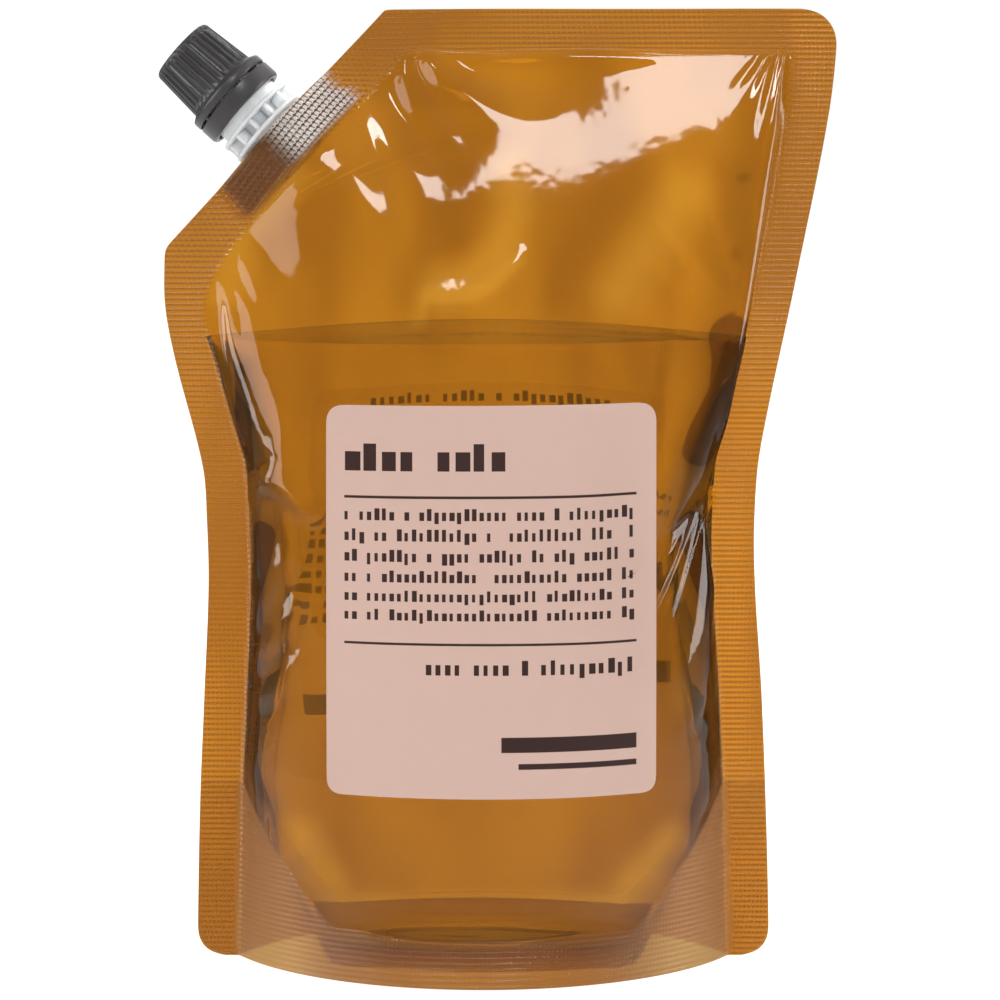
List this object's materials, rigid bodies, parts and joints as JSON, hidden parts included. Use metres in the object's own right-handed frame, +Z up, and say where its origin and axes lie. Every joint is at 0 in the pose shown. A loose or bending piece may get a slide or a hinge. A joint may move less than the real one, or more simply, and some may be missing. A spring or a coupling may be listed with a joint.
{
  "type": "spouted stand-up pouch",
  "caption": "Clear amber stand-up refill pouch of liquid soap with a slanted corner spout, ribbed screw cap, tamper band and plain labels.",
  "frame": {"origin": "middle of the flat patch of the base, on the plane the pouch stands on", "axes": "+Z up, -Y towards the front label, -X towards the spout"},
  "size_m": [0.1512, 0.0684, 0.2116],
  "materials": {
    "amber_film": "clear amber film, glossy",
    "soap": "clear liquid",
    "clear_label": "clear label with print",
    "pink_label": "satin printed film",
    "natural_plastic": "translucent natural polyethylene",
    "black_plastic": "semi-gloss moulded",
    "liner_foam": "matt foam"
  },
  "bodies": {
    "pouch": {"front_panel": "amber_film", "back_panel": "amber_film", "bottom_gusset": "amber_film", "soap": "soap", "front_label": "pink_label", "back_label": "clear_label", "spout": "natural_plastic", "tamper_band": "black_plastic"},
    "liner": {"cap_liner": "liner_foam"},
    "cap": {"screw_cap": "black_plastic"}
  },
  "joints": [
    {"name": "cap_lift", "type": "slide", "parent": "pouch", "child": "liner", "axis": [-0.742, 0.202, 0.6393], "range_m": [0, 0.014]},
    {"name": "cap_turn", "type": "hinge", "parent": "liner", "child": "cap", "pos_m": [-0.05041, 0.01468, 0.1852], "axis": [-0.742, 0.202, 0.6393], "range_deg": [0, 840]}
  ],
  "couplings": [
    {"joint": "cap_lift", "follows": "cap_turn", "m_per_rad": 0.000954}
  ]
}
